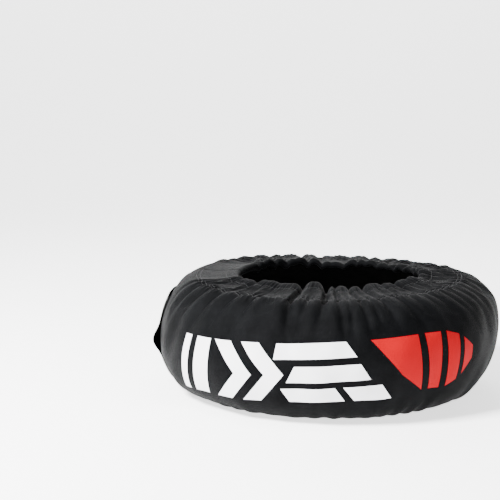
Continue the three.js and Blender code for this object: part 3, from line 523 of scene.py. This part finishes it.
BLACK_DARK = (0.0014, 0.0015, 0.0017)
BLACK_LIGHT = (0.0038, 0.004, 0.0044)
cover_cloth = woven("cover_cloth", BLACK_DARK, BLACK_LIGHT, 0.5, 0.0011, 0.0002, 0.0)
skirt_cloth = woven("skirt_cloth", BLACK_DARK, BLACK_LIGHT, 0.5, 0.0011, 0.0002, 0.0)
lining_cloth = woven("lining_cloth", (0.002,) * 3, (0.004,) * 3, 0.85, 0.0016, 0.0003, 0.0)
tape_cloth = woven("tape_cloth", (0.0025,) * 3, (0.005,) * 3, 0.9, 0.0014, 0.0005, 0.02)
white_print = printed("white_print", (0.83, 0.83, 0.85), 0.42)
red_print = printed("red_print", (0.3, 0.0001, 0.004), 0.5)
thread = principled("thread", (0.009, 0.009, 0.01), 0.6)[0]
rubber = principled("rubber", (0.012, 0.012, 0.013), 0.5)[0]
metal = principled("tinned_metal", (0.6, 0.58, 0.55), 0.35, Metallic=1.0)[0]


def dress(thing, *materials):
    thing.data.materials.clear()
    for material in materials:
        thing.data.materials.append(material)
    return thing


def keep(thing):
    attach(thing, "root")
    return thing


# Padded band: the settled cover outside, the lining inside, closed along both seams and both ends
COVER_ROW_STEP = 2
LINING_ROW_STEP = 4
SEAM_PINCH = 0.1
SEAM_THICKNESS = 0.003


def padded_band():
    low, high = 2 * LOWER_SEAM, 2 * UPPER_SEAM
    outer = cloth[:, low : high + 1 : COVER_ROW_STEP]
    inner = on_ring(*inner_rows(low, high), fine_angles[:, None])[:, ::LINING_ROW_STEP]
    count, inner_count = outer.shape[1], inner.shape[1]
    size = FINE_COLUMNS * count
    face = grid_faces(FINE_COLUMNS, count)
    back = grid_faces(FINE_COLUMNS, inner_count)[:, ::-1] + size
    first = np.arange(FINE_COLUMNS - 1) * count
    under = np.arange(FINE_COLUMNS - 1) * inner_count + size
    bottom = np.stack([first, under, under + inner_count, first + count], -1)
    last, under_last = first + count - 1, under + inner_count - 1
    top = np.stack([last, last + count, under_last + inner_count, under_last], -1)
    end = np.concatenate([np.arange(count), size + np.arange(inner_count)[::-1]])
    shift = np.where(end < size, count, inner_count) * (FINE_COLUMNS - 1)
    faces = [*face, *back, *bottom, *top, end, (end + shift)[::-1]]
    uv = [cloth_uv[:, low : high + 1 : step].reshape(-1, 2) for step in (COVER_ROW_STEP, LINING_ROW_STEP)]
    points = np.concatenate([outer.reshape(-1, 3), inner.reshape(-1, 3)])
    band = mesh_object("padded_band", points, faces, np.concatenate(uv))
    dress(band, cover_cloth, lining_cloth)
    index = np.zeros(len(faces), np.int32)
    index[len(face) : len(face) + len(back)] = 1
    band.data.polygons.foreach_set("material_index", index)
    return band


def inner_rows(low, high):
    """Radius and height of the lining's rows, inside the band's section and pinched to its seams."""
    share = np.linspace(0, 1, high - low + 1)
    pinch = smooth(0, SEAM_PINCH, share) * smooth(0, SEAM_PINCH, 1 - share)
    fine = finer(np.stack([rows, rows], 0))[0]
    tangent = np.gradient(fine, axis=0)
    tangent /= np.linalg.norm(tangent, axis=1, keepdims=True)
    normal = np.stack([tangent[:, 1], -tangent[:, 0]], -1)
    part = slice(low, high + 1)
    tuck = PAD_TUCK * smooth(2 * BELLY_ROW - 20, 2 * UPPER_SEAM - 30, np.arange(low, high + 1))
    depth = SEAM_THICKNESS + (PAD_THICKNESS + tuck - SEAM_THICKNESS) * pinch
    inside = fine[part] - normal[part] * depth[:, None]
    return inside[None, :, 0], inside[None, :, 1]


band = padded_band()
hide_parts("cover_band", "felt_padding", "heating_tape", "inner_lining")
keep(band)


def skirt(name, first, last, material):
    """A skirt from one row to another of the settled cloth."""
    part = cloth[:, first : last + 1]
    count = last - first + 1
    piece = mesh_object(name, part.reshape(-1, 3), grid_faces(FINE_COLUMNS, count),
                        cloth_uv[:, first : last + 1].reshape(-1, 2))
    solid = piece.modifiers.new("cloth_thickness", "SOLIDIFY")
    solid.thickness = CLOTH_THICKNESS
    solid.offset = -1
    dress(piece, material)
    return piece


# Print: convex fields of colour, in mm along the band from the front and up from its lower edge
PRINT_LIFT = 0.0004
PRINT_CELL = 0.003


def slanted(x0, x1, y0, y1, slant):
    """A bar whose ends lean by slant mm for each mm of height."""
    return [(x0 + slant * y0, y0), (x1 + slant * y0, y0), (x1 + slant * y1, y1), (x0 + slant * y1, y1)]


def chevron(x, width, point, top):
    """An arrowhead stripe that points to +X, as two convex halves."""
    middle = top / 2
    low = [(x, 0), (x + width, 0), (x + width + point, middle), (x + point, middle)]
    high = [(x + point, middle), (x + width + point, middle), (x + width, top), (x, top)]
    return [low, high]


PRINT_HEIGHT = 104
WHITE_FIELDS = [
    slanted(-322, -302, 0, PRINT_HEIGHT, 0.12),
    slanted(-286, -250, 0, PRINT_HEIGHT, 0.12),
    *chevron(-228, 34, 44, PRINT_HEIGHT),
    *chevron(-172, 34, 44, PRINT_HEIGHT),
    [(-108, 104), (-112, 78), (28, 78), (10, 104)],
    [(-86, 0), (-100, 27), (-8, 27), (10, 0)],
    [(-90, 38), (-76, 66), (34, 66), (52, 38)],
    [(26, 0), (6, 27), (72, 27), (92, 0)],
]
RED_FIELDS = [
    [(52, 104), (108, 38), (150, 6), (138, 104)],
    [(152, 104), (166, 4), (190, 2), (184, 102)],
    [(197, 101), (204, 3), (226, 12), (226, 90)],
    [(238, 82), (238, 18), (262, 40), (262, 62)],
]


def clipped(polygon, axis, limit, sign):
    """The part of a convex polygon on one side of a line along an axis."""
    out = []
    for k, here in enumerate(polygon):
        there = polygon[(k + 1) % len(polygon)]
        a, b = sign * (here[axis] - limit), sign * (there[axis] - limit)
        if a >= 0:
            out.append(here)
        if (a > 0 > b) or (a < 0 < b):
            share = a / (a - b)
            out.append(tuple(here[i] + share * (there[i] - here[i]) for i in (0, 1)))
    return out


def cells_of(polygon, step):
    """The polygon cut along a square grid, so that it can follow the cloth's folds."""
    xs = [p[0] for p in polygon]
    for i in range(math.floor(min(xs) / step), math.ceil(max(xs) / step)):
        strip = clipped(clipped(polygon, 0, i * step, 1), 0, (i + 1) * step, -1)
        if len(strip) < 3:
            continue
        ys = [p[1] for p in strip]
        for j in range(math.floor(min(ys) / step), math.ceil(max(ys) / step)):
            cell = clipped(clipped(strip, 1, j * step, 1), 1, (j + 1) * step, -1)
            if len(cell) > 2:
                yield cell


def print_piece(name, fields, material):
    """One mesh of all the fields of a colour, laid on the cloth."""
    step = PRINT_CELL * 1000
    index, points, faces = {}, [], []
    for field in fields:
        for cell in cells_of(field, step):
            face = []
            for x, y in cell:
                key = (round(x, 3), round(y, 3))
                if key not in index:
                    index[key] = len(points)
                    points.append((x, y))
                if index[key] not in face:
                    face.append(index[key])
            if len(face) > 2:
                faces.append(face)
    flat = np.array(points) / 1000
    angle = flat[:, 0] / BELLY_RADIUS + 1.5 * math.pi
    run = PRINT_LOW_RUN + flat[:, 1]
    placed = on_cloth(angle, run, np.full(len(flat), PRINT_LIFT))
    piece = mesh_object(name, placed, faces, flat)
    dress(piece, material)
    return piece


PRINT_LOW_HEIGHT = 0.046
lower_part = slice(LOWER_SEAM, BELLY_ROW)
PRINT_LOW_RUN = float(np.interp(PRINT_LOW_HEIGHT, rows[lower_part, 1], row_run[lower_part]))
keep(print_piece("white_print", WHITE_FIELDS, white_print))
keep(print_piece("red_print", RED_FIELDS, red_print))

# Skirts
upper = skirt("gathered_upper_skirt", 2 * UPPER_SEAM, FINE_ROWS - 1, skirt_cloth)
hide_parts("upper_skirt", "upper_elastic")
keep(upper)
lower = skirt("gathered_lower_skirt", 0, 2 * LOWER_SEAM, skirt_cloth)
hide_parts("lower_skirt", "lower_elastic")
keep(lower)


# Stitching
THREAD_RADIUS = 0.0004
THREAD_SIDES = 6
STITCH_PITCH = 0.0044
HEM_CASING = 0.017


def tubes(first_point, centre, side, up, radii):
    """Closed tubes: arrays of stitches by rings by 3, with the ring radii."""
    count, rings = centre.shape[:2]
    turn = np.arange(THREAD_SIDES) * 2 * math.pi / THREAD_SIDES
    wheel = np.cos(turn)[:, None] * side[:, :, None] + np.sin(turn)[:, None] * up[:, :, None]
    points = centre[:, :, None] + wheel * radii[None, :, None, None]
    faces = []
    for k in range(count):
        first = first_point + k * rings * THREAD_SIDES
        last = first + (rings - 1) * THREAD_SIDES
        for ring in range(first, last, THREAD_SIDES):
            for c in range(THREAD_SIDES):
                a, b = ring + c, ring + (c + 1) % THREAD_SIDES
                faces.append((a, b, b + THREAD_SIDES, a + THREAD_SIDES))
        faces.append(tuple(first + c for c in reversed(range(THREAD_SIDES))))
        faces.append(tuple(last + c for c in range(THREAD_SIDES)))
    return points.reshape(-1, 3), faces


def stitches(name, lines):
    """Rows of stitches on the cloth; each line is angles and lengths along the section."""
    shares = np.array([0, 0.12, 0.5, 0.88, 1]) * 0.72 * STITCH_PITCH
    radii = np.array([0.4, 0.9, 1, 0.9, 0.4]) * THREAD_RADIUS
    lift = np.array([-0.5, 0.2, 0.5, 0.2, -0.5]) * THREAD_RADIUS
    all_points, all_faces = [], []
    for angle, run, offset in lines:
        line = on_cloth(angle, run, offset)
        out = on_cloth(angle, run, offset + 0.001) - line
        length = np.concatenate([[0], np.cumsum(np.linalg.norm(np.diff(line, axis=0), axis=1))])
        at = np.arange(int(length[-1] / STITCH_PITCH))[:, None] * STITCH_PITCH + shares[None, :]
        centre = np.stack([np.interp(at, length, line[:, k]) for k in range(3)], -1)
        up = np.stack([np.interp(at, length, out[:, k]) for k in range(3)], -1)
        up /= np.linalg.norm(up, axis=2, keepdims=True)
        ahead = np.gradient(centre, axis=1)
        side = np.cross(ahead, up)
        side /= np.maximum(np.linalg.norm(side, axis=2, keepdims=True), 1e-12)
        first_point = sum(len(p) for p in all_points)
        points, faces = tubes(first_point, centre + up * lift[None, :, None], side, up, radii)
        all_points.append(points)
        all_faces += faces
    piece = mesh_object(name, np.concatenate(all_points), all_faces)
    dress(piece, thread)
    return keep(piece)


round_angles = np.linspace(strip_angles[0] + 0.01, strip_angles[-1] - 0.01, 2400)
flat_row = np.zeros(len(round_angles))


def row_all_round(run, offset=0.0002):
    return round_angles, flat_row + run, flat_row + offset


upper_seam_run, lower_seam_run, upper_hem_run = row_run[[UPPER_SEAM, LOWER_SEAM, UPPER_HEM]]
stitches("upper_seam_stitching", [row_all_round(upper_seam_run + side) for side in (-0.0035, 0.0035)])
stitches("hem_stitching", [row_all_round(upper_hem_run - HEM_CASING), row_all_round(HEM_CASING)])
stitches("lower_seam_stitching", [row_all_round(lower_seam_run - 0.004)])


# Closure: tapes, tabs and flap, laid on the settled cloth
FLAP_ROOT = 0.034
FLAP_REACH = 0.084
FLAP_CORNER = 0.022
FLAP_LIFT = 0.0124
FLAP_LIFT_LENGTH = 0.030
FLAP_TURNS = (-45, 45)
FLAP_THICKNESS = 0.0015
TAPE_START = 0.012
TAPE_WIDTH = 0.046
TAPE_THICKNESS = 0.0011
TAPE_GAP = 0.0003
TAPE_MARGIN = 0.008
TAB_ROOT = 0.038
TAB_REACH = 0.046
TAB_WIDTH = 0.025
PATCH_INSET = 0.006
LOWER_TAB_PLACE = 0.023
BINDING_WIDTH = 0.009
BINDING_THICKNESS = 0.0006
ROUNDED_EDGE = 0.0013


def band_run(turn):
    """Length along the section at a turn round the band, in degrees up from the belly."""
    part = rows[LOWER_SEAM : UPPER_SEAM + 1]
    rise = np.where(part[:, 1] < BELLY_HEIGHT, BELLY_HEIGHT, SHOULDER_RISE)
    up, out = (part[:, 1] - BELLY_HEIGHT) / rise, (part[:, 0] - SEAM_RADIUS) / BELLY_REACH
    turns = np.degrees(np.arctan2(up, out))
    return float(np.interp(turn, turns, row_run[LOWER_SEAM : UPPER_SEAM + 1]))


def edged(length, step):
    """Places from 0 to length, close together at both edges so that these can be rounded."""
    edge = np.array([0, 0.4, 1.0, 2.0]) * ROUNDED_EDGE
    inside = np.linspace(3 * ROUNDED_EDGE, length - 3 * ROUNDED_EDGE, max(2, int(length / step)))
    return np.concatenate([edge, inside, length - edge[::-1]])


def slab(name, place, width, height, thickness, material, step=0.003):
    """Tape on the settled cloth; place gives angle, run and offset at shares of width and height."""
    u, v = np.meshgrid(edged(width, step), edged(height, step), indexing="ij")
    inset = np.minimum(np.minimum(u, width - u), np.minimum(v, height - v))
    rounding = 0.5 * np.clip(1 - inset / ROUNDED_EDGE, 0, 1) ** 2
    angle, run, offset = place(u / width, v / height)
    top = on_cloth(angle, run, offset + thickness * (1 - rounding))
    bottom = on_cloth(angle, run, offset + thickness * rounding)
    columns, count = u.shape
    face = grid_faces(columns, count)
    inner = (inset > 1e-6).ravel()
    index = np.arange(columns * count)
    under = np.where(inner, columns * count + np.cumsum(inner) - 1, index)
    points = np.concatenate([top.reshape(-1, 3), bottom.reshape(-1, 3)[inner]])
    faces = np.concatenate([face, under[face[:, ::-1]]])
    uv = np.stack([u.ravel(), v.ravel()], -1)
    piece = mesh_object(name, points, faces, np.concatenate([uv, uv[inner]]))
    dress(piece, material)
    return piece


def strip_place(start, end, low, high, offset, radius=BELLY_RADIUS):
    """A plain rectangle: lengths along the strip from the closure, and runs along the section."""
    def place(u, v):
        angle = CLOSURE_ANGLE + (start + (end - start) * u) / radius
        return angle, low + (high - low) * v, np.full(u.shape, offset)
    return place


flap_low, flap_high = band_run(FLAP_TURNS[0]), band_run(FLAP_TURNS[1])
flap_height = flap_high - flap_low
flap_underside = 2 * (TAPE_THICKNESS + TAPE_GAP) + TAPE_GAP


def flap_place(u, v):
    side = np.abs(2 * v - 1)
    corner = 2 * FLAP_CORNER / flap_height
    rounded = np.clip((side - 1 + corner) / corner, 0, 1)
    end = FLAP_REACH - FLAP_CORNER * (1 - np.sqrt(1 - 0.999 * rounded**2))
    along = -FLAP_ROOT + (end + FLAP_ROOT) * u
    climb = smooth(-FLAP_ROOT / 2, 0, along) * (1 - smooth(TAPE_START + TAPE_WIDTH, FLAP_REACH, along))
    free = smooth(FLAP_REACH - FLAP_LIFT_LENGTH, FLAP_REACH, along)
    wave = 0.0005 * (1 + np.sin(9 * v + 1)) * free
    tip = FLAP_LIFT * free * np.exp(-((side / 0.26) ** 2))
    offset = TAPE_GAP + (flap_underside - TAPE_GAP) * climb + tip + wave
    return CLOSURE_ANGLE + along / BELLY_RADIUS, flap_low + flap_height * v, offset


def closure():
    length = FLAP_ROOT + FLAP_REACH
    flap = slab("closure_flap_cloth", flap_place, length, flap_height, FLAP_THICKNESS, cover_cloth)
    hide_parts("closure_flap")
    keep(flap)
    low, high = flap_low + TAPE_MARGIN, flap_high - TAPE_MARGIN
    for name, node, offset in (("loop_tape", "closure_loop_tape", TAPE_GAP),
                               ("hook_tape", "closure_hook_tape", 2 * TAPE_GAP + TAPE_THICKNESS)):
        place = strip_place(TAPE_START, TAPE_START + TAPE_WIDTH, low, high, offset)
        piece = slab(name, place, TAPE_WIDTH, high - low, TAPE_THICKNESS, tape_cloth)
        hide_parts(node)
        keep(piece)


def hem_fastening(label, middle, radius):
    """A tab over its loop patch, on the inner face of a skirt."""
    low, high = middle - TAB_WIDTH / 2, middle + TAB_WIDTH / 2
    base = -CLOTH_THICKNESS - TAPE_GAP - TAPE_THICKNESS
    patch_length = TAB_REACH - 2 * PATCH_INSET
    patch_place = strip_place(PATCH_INSET, TAB_REACH - PATCH_INSET, low, high, base, radius)
    patch = slab(f"{label}_hem_patch", patch_place, patch_length, TAB_WIDTH, TAPE_THICKNESS, tape_cloth)
    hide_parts(f"{label}_hem_loop_patch")
    keep(patch)

    def place(u, v):
        along = -TAB_ROOT + (TAB_ROOT + TAB_REACH) * u
        climb = smooth(-TAB_ROOT / 2, 0, along) * (TAPE_THICKNESS + TAPE_GAP)
        return CLOSURE_ANGLE + along / radius, low + (high - low) * v, base - climb

    tab = slab(f"{label}_hem_strap", place, TAB_ROOT + TAB_REACH, TAB_WIDTH, TAPE_THICKNESS, tape_cloth)
    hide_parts(f"{label}_hem_tab")
    keep(tab)


closure()
hem_fastening("upper", (upper_seam_run + upper_hem_run) / 2, (SEAM_RADIUS + UPPER_HEM_RADIUS) / 2)
hem_fastening("lower", lower_seam_run - LOWER_TAB_PLACE, SEAM_RADIUS - LOWER_TAB_PLACE)


def flap_line(inset):
    """A line round the flap's free edge, inset from it."""
    u = np.concatenate([np.linspace(0.1, 1, 200), np.ones(300), np.linspace(1, 0.1, 200)])
    v = np.concatenate([np.zeros(200), np.linspace(0, 1, 300), np.ones(200)])
    u = np.minimum(u, 1 - inset / (FLAP_ROOT + FLAP_REACH))
    v = np.clip(v, inset / flap_height, 1 - inset / flap_height)
    angle, run, offset = flap_place(u, v)
    return angle, run, offset + FLAP_THICKNESS


def flap_cross(along):
    """A line across the flap at a length from the closure."""
    v = np.linspace(0.03, 0.97, 300)
    u = np.full(300, (along + FLAP_ROOT) / (FLAP_REACH + FLAP_ROOT))
    angle, run, offset = flap_place(u, v)
    return angle, run, offset + FLAP_THICKNESS


root_rows = [flap_cross(-FLAP_ROOT + inset) for inset in (0.006, 0.012)]
stitches("flap_stitching", [flap_line(0.004), *root_rows])


# Binding tape folded round each end of the strip
BINDING_STEPS = 89


def binding(name, node, end, inward):
    run = np.linspace(band_run(-67), band_run(67), BINDING_STEPS + 1)
    along = np.full(len(run), end)
    inner = -PAD_THICKNESS - TAPE_GAP
    edge, thick = -TAPE_GAP, BINDING_THICKNESS
    section = [(BINDING_WIDTH, TAPE_GAP), (edge, TAPE_GAP), (edge, inner), (BINDING_WIDTH, inner),
               (BINDING_WIDTH, inner - thick), (edge - thick, inner - thick),
               (edge - thick, TAPE_GAP + thick), (BINDING_WIDTH, TAPE_GAP + thick)]
    start = on_cloth(along, run)
    away = on_cloth(along + inward * 0.01, run) - start
    away /= np.linalg.norm(away, axis=1, keepdims=True)
    out = on_cloth(along, run, np.full(len(run), 0.001)) - start
    out /= np.linalg.norm(out, axis=1, keepdims=True)
    rings = np.stack([start + away * length + out * offset for length, offset in section], 1)
    count = len(section)
    faces = []
    for i in range(0, BINDING_STEPS * count, count):
        for k in range(count):
            following = (k + 1) % count
            faces.append((i + k, i + count + k, i + count + following, i + following))
    for first in (0, BINDING_STEPS * count):
        faces += [tuple(first + k for k in quad) for quad in ((0, 1, 6, 7), (1, 2, 5, 6), (2, 3, 4, 5))]
    piece = mesh_object(name, rings.reshape(-1, 3), faces)
    piece.data.shade_flat()
    dress(piece, tape_cloth)
    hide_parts(node)
    return keep(piece)


binding("end_tape_1", "end_binding_1", strip_angles[0], 1)
binding("end_tape_2", "end_binding_2", strip_angles[-1], -1)


# Grommet in the cover, with the bore for the supply lead
GROMMET_PROFILE = [
    (3.8, -2.6), (10.5, -2.6), (10.5, 0.4), (10.3, 1.7), (9.6, 2.3), (7.4, 2.6),
    (6.6, 3.2), (6.1, 4.6), (5.5, 10.6), (5.1, 11.3), (4.2, 11.4), (3.8, 11.0),
]
GROMMET_SIDES = 48
GROMMET_FROM_END = math.radians(13.5)
GROMMET_TURN = -11


def grommet():
    angle, run = strip_angles[-1] - GROMMET_FROM_END, band_run(GROMMET_TURN)
    centre = on_cloth(np.array([angle]), np.array([run]))[0]
    out = on_cloth(np.array([angle]), np.array([run]), np.array([0.001]))[0] - centre
    out /= np.linalg.norm(out)
    side = np.cross((0, 0, 1), out)
    side /= np.linalg.norm(side)
    other = np.cross(out, side)
    turn = np.linspace(0, 2 * math.pi, GROMMET_SIDES, endpoint=False)
    wheel = np.cos(turn)[:, None] * side + np.sin(turn)[:, None] * other
    points = [centre + wheel * r / 1000 + out * h / 1000 for r, h in GROMMET_PROFILE]
    faces = []
    for k in range(len(GROMMET_PROFILE)):
        ring, outer = k * GROMMET_SIDES, (k + 1) % len(GROMMET_PROFILE) * GROMMET_SIDES
        for c in range(GROMMET_SIDES):
            following = (c + 1) % GROMMET_SIDES
            faces.append((ring + c, ring + following, outer + following, outer + c))
    piece = mesh_object("lead_grommet_rubber", np.concatenate(points), faces)
    dress(piece, rubber)
    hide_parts("lead_grommet")
    return keep(piece)


grommet()

# Pieces that stay inside the pad keep their solids
for node, material in (("thermostat", rubber), ("thermal_fuse", metal), ("supply_crimp_1", metal),
                       ("supply_crimp_2", metal), ("jumper_wire_1", rubber), ("jumper_wire_2", rubber),
                       ("jumper_wire_3", rubber)):
    dress(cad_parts[node], material)


# Floor that sweeps up into a wall behind, and light
SWEEP_START = 2.6
SWEEP_RADIUS = 1.4
SWEEP_HEIGHT = 5.0
SWEEP_HALF_WIDTH = 7.0
PAPER_GLOW = 1.8
WORLD_LIGHT = 0.2
LAMPS = [
    ("key_light", (-1.6, -1.1, 2.0), 0.7, 430),
    ("fill_light", (1.9, -1.9, 1.3), 1.2, 12),
    ("rim_light", (0.3, 1.6, 1.9), 1.2, 30),
]


def add_stage():
    turn = np.linspace(0, math.pi / 2, 24)
    curve = [(SWEEP_START + SWEEP_RADIUS * math.sin(a), SWEEP_RADIUS * (1 - math.cos(a))) for a in turn]
    profile = [(-6, 0), *curve, (SWEEP_START + SWEEP_RADIUS, SWEEP_HEIGHT)]
    points = [(x, y, z - 0.0002) for y, z in profile for x in (-SWEEP_HALF_WIDTH, SWEEP_HALF_WIDTH)]
    faces = [(2 * k, 2 * k + 1, 2 * k + 3, 2 * k + 2) for k in range(len(profile) - 1)]
    floor = mesh_object("floor", points, faces)
    paper = principled("white_paper", (0.9, 0.9, 0.9), 0.8, Specular_IOR_Level=0.0,
                       Emission_Color=(1, 1, 1, 1), Emission_Strength=PAPER_GLOW)[0]
    dress(floor, paper)
    world = bpy.data.worlds.new("studio")
    world.use_nodes = True
    world.node_tree.nodes["Background"].inputs["Color"].default_value = (1, 1, 1, 1)
    world.node_tree.nodes["Background"].inputs["Strength"].default_value = WORLD_LIGHT
    bpy.context.scene.world = world
    for name, place, size, power in LAMPS:
        data = bpy.data.lights.new(name, "AREA")
        data.size = size
        data.energy = power
        lamp = bpy.data.objects.new(name, data)
        lamp.location = place
        lamp.rotation_euler = (Vector((0, 0, 0.1)) - Vector(place)).to_track_quat("-Z", "Y").to_euler()
        bpy.context.scene.collection.objects.link(lamp)


add_stage()
